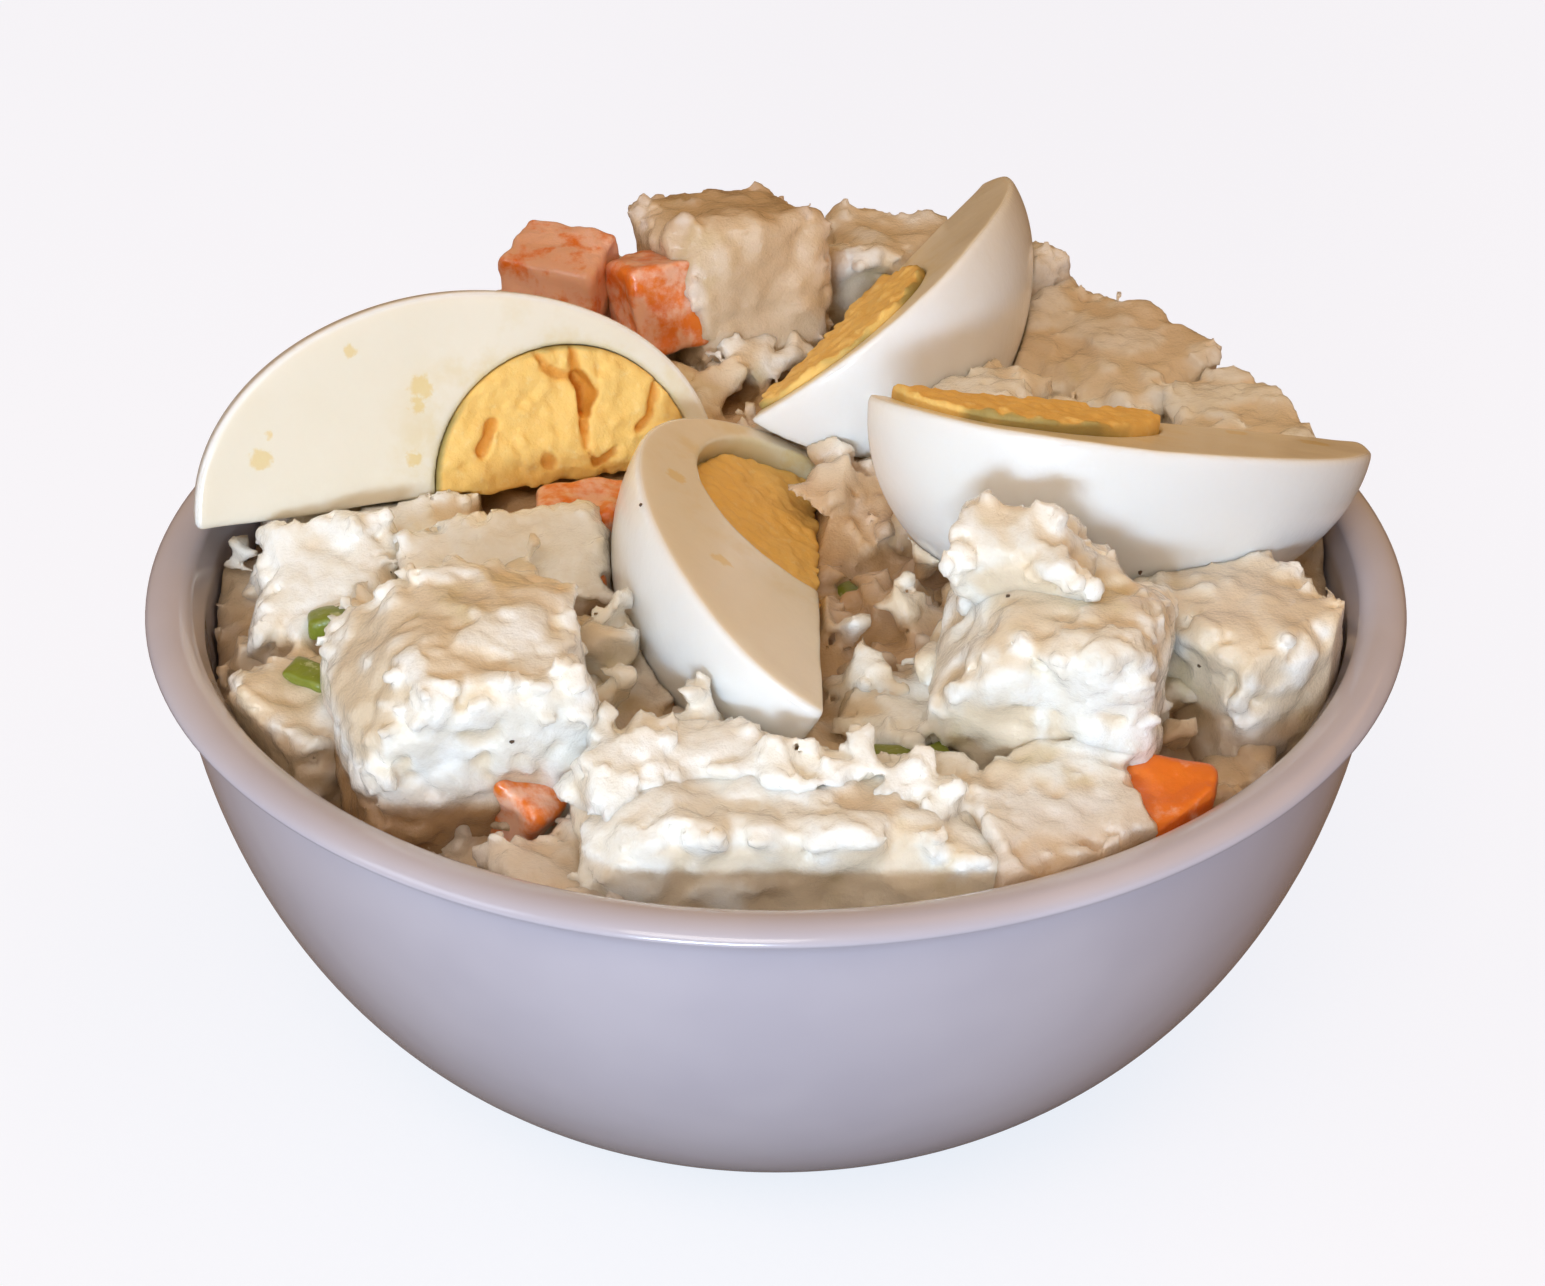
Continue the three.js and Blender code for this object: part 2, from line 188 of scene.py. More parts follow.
CELERY = [
    Part((-45.2, -24, 52.2), (2.8, 1.7, 1.5), (-30, 10)),
    Part((-44.7, -16.2, 54.0), (2.0, 1.5, 1.3), (10, 0)),
    Part((9.5, -37, 52), (3.2, 1.5, 1.1), (-8, 0)),
    Part((14.5, -37, 51.6), (2, 1.5, 1.2), (30, 20)),
    Part((8.8, -4, 48.3), (2.4, 2.2, 2.2), (40, 10)),
    Part((-46, -33, 45), (3, 1.6, 1.6), (50, 0)),
    Part((-17, -14.5, 50), (2.6, 1.6, 1.6), (80, 0)),
    Part((-12, -34.3, 51), (2, 1.2, 1), (10, 15)),
]
FILLER_PLACES = 64
FILLER_REACH = 54.0
FILLER_START = 26.0
FILLER_CLEARANCE = 15.0
FILLER_HALF = (6.5, 9.5)
FILLER_SPACING = 0.75  # of two neighbours' half sizes
FILLER_SINK = 1.5
FILLER_COAT = 0.3

# ---- relief

# Layers of relief: the height, the size of the lumps and the seed of each.
KNIFE_WAVES = [(0.09, 5.0, 40), (0.03, 1.6, 50)]
SHELL_WAVES = [(0.06, 9.0, 60)]
YOLK_GRAIN = [(0.16, 1.6, 70), (0.26, 0.6, 80)]
CRACK_WAVES = [(0.3, 1.6, 90), (0.2, 0.7, 95)]
BIT_WAVES = [(1.0, 2.2, 0), (0.3, 0.8, 50)]

SALAD_LUMPS = (4.5, 2.3, 1.2, 0.75)  # sizes of the salad's four noises
POTATO_RELIEF = (0.65, 0.4, 0.24, 0.18)  # height of each of them on potato
POTATO_SHRINK = 0.4  # makes room for it
MASH_RELIEF = (0.6, 0.4, 0.3)  # height of the last three on mash
MASH_SHRINK = 0.2
POTATO_ROUNDING = 0.28  # of a piece's least half size
POTATO_CHIPS = 5  # corners and edges broken off a piece
EDGE_REACH = 2.1  # over which an edge is told from a face
COAT_THICKNESS = 0.3
CREST = 0.3  # noise nearer to zero than this makes a thin ridge
PATCH_SHIFT = 31  # points by which the mealy patches are moved off the lumps
CLUSTER = 3  # crumbs that lie together
CRUMB_SIZES = (0.3, 0.9)
MASH_LUMP_SIZES = (2.2, 4.0)
MASH_CRUMB_SIZES = (0.5, 1.7)
BURIED = -3.0  # below the bare salad by this much, nothing shows
SALAD_HEIGHTS = (30, 79)  # of the block that the salad is worked out in
MASH_BOTTOM = 32.0
BED_MARGIN = 0.1  # between the eggs and the salad
HEADROOM = 0.1  # under the top of the solids

# Where the lines of sight to the pepper flecks cross the plane at y = FLECK_PLANE, as x and z.
FLECKS = [(-29.6, 92.5), (-21.1, 76.8), (17.8, 90.4), (27.8, 92.5), (-10.3, 98.5), (33, 84)]
FLECK_PLANE = -70.0
FLECK_SIZES = (0.25, 0.4)
SIGHT = (150, 400, 0.1)  # nearest, farthest and step along a line of sight

# ---- stage and camera

FLOOR_REACH = 3.0  # in metres
LIT_PLACE = (0, 0, 50)  # where every light points
CAMERA_TILT = radians(32.72)
CAMERA_DISTANCE = 306.43
CAMERA_TARGET = (-0.345, 0.0, 41.13)
FOCAL_PIXELS = 2870.4
PHOTO_WIDTH = 1545
SENSOR = 36.0

# ---- fineness

# Distances between a field's points.
SALAD_STEP = 0.42
EGG_STEP = 0.34
BIT_STEP = 0.3
WALL_STEPS = 40
LIP_STEPS = 16
ROOM_STEPS = 60
BOWL_SEGMENTS = 192
TILE = 96  # points a side in a tile of noise
TILE_LUMPS = 16  # noise with at least this many lumps a side is tiled
SPREAD = 2.6  # evens out how the weights flatten the noise
FAR = 50.0  # a field's value away from every form
SCRAP = 150  # a loose part with fewer points than this is dropped
# The most triangles in a piece.
LIMITS = dict(chunks=190000, pieces=190000, mash=170000, white=42000, yolk=24000,
              carrots=40000, celery=20000)

# ---- fields of distances

CORNERS = [(i, j, k) for i in (0, 1) for j in (0, 1) for k in (0, 1)]
SIDES = [
    (a, b)
    for a, b in combinations(range(8), 2)
    if sum(p != q for p, q in zip(CORNERS[a], CORNERS[b])) == 1
]


class Grid:
    """A block of evenly spaced points."""

    def __init__(self, low, high, step):
        self.low = np.array(low, float)
        self.step = step
        self.shape = tuple(int(ceil((h - l) / step)) + 1 for l, h in zip(low, high))

    def row(self, axis):
        """The points' places along an axis."""
        return (self.low[axis] + self.step * np.arange(self.shape[axis])).astype(np.float32)

    def axes(self, centre=(0, 0, 0), where=(slice(None),) * 3):
        """x, y and z of the points about a centre, shaped so that they combine into a block."""
        x, y, z = (self.row(k)[where[k]] - centre[k] for k in range(3))
        return x[:, None, None], y[:, None], z

    def around(self, centre, reach):
        """The part of the block within reach of a place, and x, y and z there about it."""
        start = np.floor((np.array(centre) - reach - self.low) / self.step).astype(int)
        stop = np.ceil((np.array(centre) + reach - self.low) / self.step).astype(int) + 1
        start, stop = np.clip(start, 0, self.shape), np.clip(stop, 0, self.shape)
        where = tuple(slice(a, b) for a, b in zip(start, stop))
        return where, self.axes(centre, where)


def spline_weights(places, count):
    """Cubic weights of each place on a row of knots that closes on itself."""
    knot = np.floor(places).astype(int)
    t = places - knot
    parts = ((1 - t) ** 3, 3 * t**3 - 6 * t**2 + 4, -3 * t**3 + 3 * t**2 + 3 * t + 1, t**3)
    table = np.zeros((len(places), count), np.float32)
    for offset, part in enumerate(parts):
        table[np.arange(len(places)), (knot + offset) % count] = part / 6
    return table


def noise(grid, size, seed):
    """Smooth noise, mostly from -1 to 1, with lumps about twice the size across.

    Fine noise fills a tile that repeats.
    """
    rng = np.random.default_rng(seed)
    fine = size * TILE_LUMPS < TILE * grid.step
    tile = [min(n, TILE) if fine else n for n in grid.shape]
    counts = [max(4, round(n * grid.step / size)) for n in tile]
    field = rng.uniform(-1, 1, counts).astype(np.float32)
    for axis in range(3):
        places = np.arange(tile[axis]) * counts[axis] / tile[axis]
        table = spline_weights(places, counts[axis])
        field = np.moveaxis(np.tensordot(table, field, (1, axis)), 0, axis)
    repeats = [ceil(n / t) for n, t in zip(grid.shape, tile)]
    field = np.tile(field * SPREAD, repeats)
    return np.ascontiguousarray(field[tuple(slice(0, n) for n in grid.shape)])


def relief(grid, layers, number):
    """Layers of noise in one, with seeds of their own for each number."""
    return sum(height * noise(grid, size, seed + number) for height, size, seed in layers)


def smooth_step(low, high, value):
    share = np.clip((value - low) / (high - low), 0, 1)
    return share * share * (3 - 2 * share)


def joined(a, b, soft):
    """The union of two distances, with the crease between them filled."""
    share = np.clip(0.5 + 0.5 * (b - a) / soft, 0, 1)
    return b + (a - b) * share - soft * share * (1 - share)


def cut(a, b, soft):
    """What two distances have in common, with its edge rounded."""
    return -joined(-a, -b, soft)


def surface(field, grid):
    """The closed surface where a field is zero, as points and four-sided faces.

    Scraps are left out.
    """
    inside = field < 0
    count = np.zeros([n - 1 for n in grid.shape], np.uint8)
    for i, j, k in CORNERS:
        count += inside[i : i + count.shape[0], j : j + count.shape[1], k : k + count.shape[2]]
    cells = np.argwhere((count > 0) & (count < 8))
    values = [field[tuple((cells + corner).T)] for corner in CORNERS]
    total = np.zeros((len(cells), 3))
    crossings = np.zeros(len(cells))
    for a, b in SIDES:
        crossed = (values[a] < 0) != (values[b] < 0)
        share = values[a][crossed] / (values[a][crossed] - values[b][crossed])
        way = np.subtract(CORNERS[b], CORNERS[a])
        total[crossed] += CORNERS[a] + share[:, None] * way
        crossings[crossed] += 1
    points = grid.low + grid.step * (cells + total / crossings[:, None])
    number = np.full(count.shape, -1, np.int32)
    number[tuple(cells.T)] = np.arange(len(cells))
    faces = [crossing_faces(inside, number, axis) for axis in range(3)]
    return without_scraps(points, np.concatenate(faces))


def crossing_faces(inside, number, axis):
    """One face for each step along an axis that goes in or out of the form."""
    u, v = (axis + 1) % 3, (axis + 2) % 3
    first = np.take(inside, range(inside.shape[axis] - 1), axis)
    second = np.take(inside, range(1, inside.shape[axis]), axis)
    places = np.argwhere(first != second)
    kept = (places[:, u] > 0) & (places[:, v] > 0)
    kept &= (places[:, u] < number.shape[u]) & (places[:, v] < number.shape[v])
    places = places[kept]
    around = []
    for back_u, back_v in ((1, 1), (0, 1), (0, 0), (1, 0)):
        cell = places.copy()
        cell[:, u] -= back_u
        cell[:, v] -= back_v
        around.append(number[tuple(cell.T)])
    faces = np.stack(around, 1)
    inwards = ~first[tuple(places.T)]
    faces[inwards] = faces[inwards][:, ::-1]
    return faces


def without_scraps(points, faces):
    """Leaves out the loose parts that are too small to keep."""
    label = np.arange(len(points))
    a, b = faces.ravel(), np.roll(faces, -1, axis=1).ravel()
    while True:
        low = np.minimum(label[a], label[b])
        found = label.copy()
        np.minimum.at(found, a, low)
        np.minimum.at(found, b, low)
        found = found[found]
        if (found == label).all():
            break
        label = found
    sizes = np.bincount(label, minlength=len(points))
    kept = sizes[label] >= SCRAP
    number = np.cumsum(kept) - 1
    return points[kept], number[faces[kept[faces[:, 0]]]]


def sample(field, grid, points):
    """The value of a field at any points."""
    place = (points - grid.low) / grid.step
    base = np.clip(np.floor(place).astype(int), 0, np.array(grid.shape) - 2)
    part = np.clip(place - base, 0, 1)
    total = np.zeros(len(points))
    for corner in CORNERS:
        weight = np.prod(np.where(corner, part, 1 - part), axis=1)
        total += weight * field[tuple((base + corner).T)]
    return total


# ---- meshes


def linked(name, data):
    """A new object in the scene."""
    made = bpy.data.objects.new(name, data)
    bpy.context.scene.collection.objects.link(made)
    return made


def piece(name, points, faces, material, slot, nodes, limit=None):
    """A smooth mesh of the object, thinned to at most limit triangles, that stands for nodes."""
    mesh = bpy.data.meshes.new(name)
    mesh.vertices.add(len(points))
    mesh.vertices.foreach_set("co", (np.asarray(points) * MM).ravel())
    mesh.loops.add(faces.size)
    mesh.loops.foreach_set("vertex_index", faces.astype(np.int32).ravel())
    mesh.polygons.add(len(faces))
    mesh.polygons.foreach_set("loop_start", np.arange(len(faces)) * faces.shape[1])
    mesh.update(calc_edges=True)
    made = linked(name, mesh)
    triangles = len(faces) * (faces.shape[1] - 2)
    if limit and triangles > limit:
        thinned(made, limit / triangles)
    made.data.shade_smooth()
    made.data.materials.append(material)
    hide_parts(*nodes)
    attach(made, "root")
    return made


def thinned(obj, share):
    """Leaves about a share of a mesh's triangles."""
    modifier = obj.modifiers.new("thin", "DECIMATE")
    modifier.ratio = share
    with bpy.context.temp_override(object=obj, active_object=obj):
        bpy.ops.object.modifier_apply(modifier=modifier.name)


def points_of(obj):
    """The mesh's points in millimetres."""
    found = np.zeros(len(obj.data.vertices) * 3, np.float32)
    obj.data.vertices.foreach_get("co", found)
    return found.reshape(-1, 3) / MM


def set_values(obj, name, values):
    """Gives each point of a mesh a value that its material reads."""
    layer = obj.data.attributes.new(name, "FLOAT", "POINT")
    layer.data.foreach_set("value", np.asarray(values, np.float32))


# ---- bowl


def wall_point(share, inset, floor):
    """A point of the wall's curve, from foot to shoulder, moved inwards by inset."""
    angle = share * pi / 2
    power = 2 / WALL_SQUARENESS
    foot = FOOT_RADIUS - inset / 2
    top = BOWL_HEIGHT - LIP_HEIGHT
    radius = foot + (SHOULDER_RADIUS - inset - foot) * sin(angle) ** power
    height = floor + (top - floor) * (1 - abs(cos(angle)) ** power)
    return radius, height


def bowl_profile():
    """The bowl's outline from the middle of its foot, over the lip, to the middle of its floor."""
    outside = [wall_point(i / WALL_STEPS, 0, 0) for i in range(WALL_STEPS + 1)]
    inside = [wall_point(1 - i / WALL_STEPS, WALL, FLOOR) for i in range(WALL_STEPS + 1)]
    middle = (RIM_RADIUS + SHOULDER_RADIUS - WALL) / 2 + LIP_SHIFT
    half = RIM_RADIUS - middle
    lip = []
    for i in range(LIP_STEPS + 1):
        angle = pi * i / LIP_STEPS
        height = BOWL_HEIGHT - LIP_HEIGHT / 2 + LIP_HEIGHT / 2 * sin(angle)
        lip.append((middle + half * cos(angle), height))
    return [(0.0, 0.0), *outside, *lip, *inside, (0.0, FLOOR)]


def make_bowl(material):
    count = BOWL_SEGMENTS
    profile = bowl_profile()
    points = [(0.0, 0.0, profile[0][1]), (0.0, 0.0, profile[-1][1])]
    for radius, height in profile[1:-1]:
        for i in range(count):
            angle = 2 * pi * i / count
            points.append((radius * cos(angle), radius * sin(angle), height))
    last = len(points) - count
    sides = []
    for first in range(2, last, count):
        for i in range(count):
            a, b = first + i, first + (i + 1) % count
            sides.append((a, b, b + count, a + count))
    ends = []
    for i in range(count):
        after = (i + 1) % count
        ends.append((0, 2 + after, 2 + i))
        ends.append((1, last + i, last + after))
    mesh = bpy.data.meshes.new("bowl_shell")
    mesh.from_pydata([Vector(p) * MM for p in points], [], sides + ends)
    made = linked("bowl_shell", mesh)
    mesh.shade_smooth()
    mesh.materials.append(material)
    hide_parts("bowl")
    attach(made, "root")


# ---- boiled egg


def egg_frame(egg):
    """The egg's own axes as columns: along it, towards the first cut face's shell, across."""
    along = Vector(egg.axis).normalized()
    up = Vector(egg.rise)
    up = (up - along * up.dot(along)).normalized()
    return np.array([along, up, along.cross(up)]).T


def egg_body(egg, x, y, z, extra=0.0):
    """Distance to the whole egg, with its blunt end at +X."""
    half = egg.length / 2 + extra
    radius = egg.radius + extra
    s = x / half
    across = radius * np.maximum(0.3, 1 + egg.blunt * np.clip(s, -1.4, 1.4))
    around = np.sqrt(y * y + z * z)
    value = (around / across) ** 2 + s * s
    slope = 2 * np.sqrt((around / across**2) ** 2 + (s / half) ** 2)
    return (value - 1) / np.maximum(slope, 0.03)


def egg_cuts(egg, y, z, first, second):
    """Distances to the two cut faces, each moved outwards by its own margin."""
    turn = radians(egg.angle)
    return z - first, -y * sin(turn) - z * cos(turn) - second


def yolk_ball(egg, x, y, z):
    """Distance to the yolk, kept inside the white."""
    middle = YOLK_OFFSET * egg.length / 2
    radius = min(YOLK_RADIUS, egg.radius - 2 * LEAST_WHITE)
    ball = np.sqrt((x - middle) ** 2 + y * y + z * z) - radius
    return cut(ball, egg_body(egg, x, y, z, -LEAST_WHITE), 1.0)


def egg_grid(egg):
    half, radius = egg.length / 2 + 2, egg.radius * 1.25 + 2
    return Grid((-half, -radius / 3, -radius), (half, radius, radius / 6), EGG_STEP)


def egg_piece(kind, egg, number, field, grid, look):
    """A piece from a field on the egg's own axes, and its points on those axes."""
    place = egg_frame(egg)
    points, faces = surface(field, grid)
    made = piece(f"boiled_{kind}_{number}", points @ place.T + egg.at, faces, look,
                 f"egg_{kind}", [f"egg_{kind}_{number}"], LIMITS[kind])
    return made, (points_of(made) - egg.at) @ place


def make_white(egg, number, look):
    grid = egg_grid(egg)
    x, y, z = grid.axes()
    waves = relief(grid, KNIFE_WAVES, number)
    body = egg_body(egg, x, y, z) + relief(grid, SHELL_WAVES, number)
    first, second = egg_cuts(egg, y, z, 0, 0)
    faces = cut(first + waves, second + waves, 0.5)
    ball = yolk_ball(egg, x, y, z)
    white = cut(cut(body, faces, 0.7), -ball, 0.35)
    made, local = egg_piece("white", egg, number, white, grid, look)
    set_values(made, "near_yolk", sample(ball, grid, local))
    set_values(made, "near_shell", sample(body, grid, local))
    set_values(made, "smear", smeared(egg, local))


def make_yolk(egg, number, look, cracks):
    grid = egg_grid(egg)
    x, y, z = grid.axes()
    first, second = egg_cuts(egg, y, z, *egg.lift)
    split = yolk_cracks(grid, number, cracks)
    grain = relief(grid, YOLK_GRAIN, number)
    crumbly = cut(first + grain + split, second + grain + split, 0.5)
    ball = yolk_ball(egg, x, y, z)
    yolk = cut(ball + 0.1, crumbly, 0.4)
    made, local = egg_piece("yolk", egg, number, yolk, grid, look)
    set_values(made, "near_white", sample(ball, grid, local))
    set_values(made, "crack", sample(split, grid, local))


def smeared(egg, local):
    """How thickly yolk is smeared on points of the first cut face, from 0 to 1."""
    found = np.zeros(len(local))
    for x, y, radius in egg.smears:
        away = np.sqrt((local[:, 0] - x) ** 2 + (local[:, 1] - y) ** 2 + local[:, 2] ** 2)
        found = np.maximum(found, 1 - away / (2 * radius))
    return found


def beside_path(x, y, path):
    """Distance to a line through the points of a path."""
    found = np.full(np.broadcast(x, y).shape, np.inf)
    for (ax, ay), (bx, by) in zip(path, path[1:]):
        length = hypot(bx - ax, by - ay)
        along = np.clip(((x - ax) * (bx - ax) + (y - ay) * (by - ay)) / length**2, 0, 1)
        away = np.hypot(x - ax - along * (bx - ax), y - ay - along * (by - ay))
        found = np.minimum(found, away)
    return found


def yolk_cracks(grid, number, cracks):
    """How deep the yolk has split."""
    x, y, _ = grid.axes()
    deepest = np.zeros(grid.shape, np.float32)
    if not cracks:
        return deepest
    waves = relief(grid, CRACK_WAVES, number)
    for path, width, depth in cracks:
        away = beside_path(x, y, path) + waves
        deepest = np.maximum(deepest, depth * (1 - smooth_step(0.4 * width, width + 0.2, away)))
    return deepest


# ---- salad


def stream(seed):
    """The same repeatable numbers from 0 to 1 as the solids use."""
    state = seed * 7919 + 1
    while True:
        state = state * 16807 % 2147483647
        yield state / 2147483647


def dome(x, y):
    """Height of the heap's smooth dome."""
    radius = np.hypot(x, y) / SHOULDER_RADIUS
    return EDGE_LEVEL + DOME_RISE * (1 - radius * radius) + BACK_RISE * y / SHOULDER_RADIUS


def level(x, y):
    """Height of the bare salad."""
    waves = 1.1 * np.sin(x * 0.21 + 1) * np.cos(y * 0.19) + 0.7 * np.sin(y * 0.33 - x * 0.12)
    away = np.hypot(x - DIP_AT[0], y - DIP_AT[1]) / DIP_REACH
    return dome(x, y) + waves - DIP_DEPTH * np.exp(-away * away)


def beside_egg(egg, x, y):
    """Distance from an egg's long edge, seen from above."""
    at, axis, half = egg.at, egg.axis, egg.length / 2
    along = (x - at[0]) * axis[0] + (y - at[1]) * axis[1]
    near = min(max(along, -half), half)
    return hypot(x - at[0] - near * axis[0], y - at[1] - near * axis[1])


def fillers():
    """Pieces round the sides and back, by the same rule as in the solids."""
    draw = stream(SEED)
    taken = [(p.at, p.half[0]) for p in POTATOES + CARROTS]
    found = []
    for i in range(FILLER_PLACES):
        radius = FILLER_REACH * sqrt((i + 0.5) / FILLER_PLACES)
        bearing = i * pi * (3 - sqrt(5))
        x, y = radius * cos(bearing), radius * sin(bearing)
        span = FILLER_HALF[1] - FILLER_HALF[0]
        half = [FILLER_HALF[0] + span * next(draw) for _ in range(3)]
        turn = (180 * next(draw), 50 * next(draw) - 25)
        apart = all(
            hypot(at[0] - x, at[1] - y) > FILLER_SPACING * (reach + half[0])
            for at, reach in taken
        )
        clear = all(beside_egg(egg, x, y) > FILLER_CLEARANCE for egg in EGGS)
        if radius < FILLER_START or not apart or not clear:
            continue
        at = (x, y, float(level(x, y)) - FILLER_SINK)
        taken.append((at, half[0]))
        found.append(Part(at, half, turn, coat=FILLER_COAT))
    return found


def turned_back(x, y, z, turn):
    """Places in a piece's own axes, from places about its middle."""
    a, b = radians(turn[0]), radians(turn[1])
    flat = x * cos(a) + y * sin(a)
    side = y * cos(a) - x * sin(a)
    return flat, side * cos(b) + z * sin(b), z * cos(b) - side * sin(b)


def block_distance(local, half, rounding):
    """Distance to a block with rounded edges."""
    over = [np.abs(c) - (h - rounding) for c, h in zip(local, half)]
    outside = np.sqrt(sum(np.maximum(c, 0) ** 2 for c in over))
    inside = np.minimum(np.maximum(np.maximum(over[0], over[1]), over[2]), 0)
    return outside + inside - rounding


def span_along(places, way):
    """How far along a direction places lie."""
    return sum(c * w for c, w in zip(places, way))


def chipped_block(part, local, rng, rounding, chips):
    """A cut cube with some of its corners and edges broken off."""
    half = np.array(part.half, float)
    shape = block_distance(local, half, rounding)
    for _ in range(chips):
        way = rng.normal(size=3)
        way /= np.linalg.norm(way)
        depth = np.abs(way * half).sum() * rng.uniform(0.74, 0.92)
        shape = cut(shape, span_along(local, way) - depth, 1.0)
    return shape


def shaved_block(part, shape, away):
    """A block with the slices named for it taken off."""
    for way, depth in part.shaved:
        length = hypot(*way)
        plane = sum(c * w / length for c, w in zip(away, way)) - depth
        shape = cut(shape, plane, 1.5)
    return shape


def stamp_blocks(field, grid, parts, seed, owner, crown):
    """Joins potato to a field, and notes how the piece at each place is coated."""
    for i, part in enumerate(parts):
        rng = np.random.default_rng(seed + i)
        where, away = grid.around(part.at, max(part.half) * 1.45 + 3)
        local = turned_back(*away, part.turn)
        shape = chipped_block(part, local, rng, POTATO_ROUNDING * min(part.half), POTATO_CHIPS)
        shape = shaved_block(part, shape, away)
        nearer = shape < field[where]
        owner[where][nearer] = part.coat
        crown[where][nearer] = part.crown
        field[where] = joined(field[where], shape, 0.8)


def crumb(rng, radius, away):
    """Distance to a small angular chip, from places about its middle."""
    sides, _ = np.linalg.qr(rng.normal(size=(3, 3)))
    depths = radius * np.array([1.0, rng.uniform(0.6, 0.95), rng.uniform(0.35, 0.75)])
    corners = rng.normal(size=(4, 3))
    corners /= np.linalg.norm(corners, axis=1)[:, None]
    cuts = radius * rng.uniform(0.55, 0.9, 4)
    shape = -FAR
    for way, depth in zip(sides, depths):
        shape = np.maximum(shape, np.abs(span_along(away, way)) - depth)
    for way, depth in zip(corners, cuts):
        shape = np.maximum(shape, span_along(away, way) - depth)
    return shape


def scatter(field, grid, count, sizes, weights_of, seed, soft=0.3, sink=0.35, marks=None):
    """Crumbs on a surface in small clusters, most of them where weights_of says."""
    rng = np.random.default_rng(seed)
    near = np.argwhere(np.abs(field) < 0.5 * grid.step)
    weight = weights_of(near)
    middles = rng.choice(len(near), ceil(count / CLUSTER), p=weight / weight.sum())
    for index in np.repeat(middles, CLUSTER)[:count]:
        radius = sizes[0] * (sizes[1] / sizes[0]) ** rng.random() ** 1.8
        spread = rng.normal(size=3) * sink * (radius + sizes[1] / 2)
        where, away = grid.around(grid.low + grid.step * near[index] + spread, radius + 1)
        field[where] = joined(field[where], crumb(rng, radius, away), soft)
        if marks is not None:
            apart = np.sqrt(sum(c**2 for c in away))
            marks[where] = np.maximum(marks[where], 1 - smooth_step(radius, radius + 0.8, apart))


def edginess(field, grid, distance):
    """How strongly a surface bends outwards, over about a distance."""
    n = max(1, round(distance / grid.step))
    total = -6 * field
    for axis in range(3):
        total = total + np.roll(field, n, axis) + np.roll(field, -n, axis)
    return total / distance


def room(grid):
    """Distance to the space the salad may fill: inside the bowl, and straight up above the lip."""
    inset, floor = WALL + GAP, FLOOR + GAP
    curve = np.array([wall_point(i / ROOM_STEPS, inset, floor) for i in range(ROOM_STEPS + 1)])
    widest = np.interp(grid.row(2), curve[:, 1], curve[:, 0])
    x, y, z = grid.axes()
    wall = np.hypot(x, y) - widest.astype(np.float32)
    return np.maximum(wall, floor - z)


def egg_beds(grid):
    """Distance to the room that the eggs take."""
    beds = np.full(grid.shape, FAR, np.float32)
    for egg in EGGS:
        where, away = grid.around(egg.at, egg.length / 2 + 6)
        local = [span_along(away, axis) for axis in egg_frame(egg).T]
        margins = [max(0, lift) + BED_MARGIN for lift in egg.lift]
        first, second = egg_cuts(egg, local[1], local[2], *margins)
        bed = np.maximum(egg_body(egg, *local, BED_MARGIN), np.maximum(first, second))
        beds[where] = np.minimum(beds[where], bed)
    return beds


class Salad:
    """The block of points that all the salad's pieces share, and its noises."""

    def __init__(self):
        low, high = SALAD_HEIGHTS
        reach = SHOULDER_RADIUS - WALL + 1.5
        self.grid = Grid((-reach, -reach, low), (reach, reach, high), SALAD_STEP)
        x, y, z = self.grid.axes()
        self.above = (z - level(x, y)).astype(np.float32)
        self.room = room(self.grid)
        self.beds = egg_beds(self.grid)
        self.solid = self.filled(FAR)
        self.noises = [noise(self.grid, size, int(size * 10)) for size in SALAD_LUMPS]

    def filled(self, value):
        """The block with the same value everywhere."""
        return np.full(self.grid.shape, value, np.float32)

    def finished(self, field):
        """A field cut to the bowl, the room above it and the beds of the eggs."""
        ceiling = self.grid.row(2) - (cad_box[1].z / MM - HEADROOM)
        return np.maximum(np.maximum(np.maximum(field, self.room), -self.beds), ceiling)

    def add(self, name, field, mealy, look, limit, parts):
        """A piece of the salad made of parts, with the values that its material reads."""
        self.solid = np.minimum(self.solid, field)
        made = piece(name, *surface(field, self.grid), look, "salad", ["salad_heap"], limit)
        points = points_of(made)
        set_values(made, "mealy", sample(mealy, self.grid, points))
        # painted shade: how strongly the material darkens each point towards golden brown
        set_values(made, "deep", painted_shade_places(points, painted_shade_strength(points, parts)))


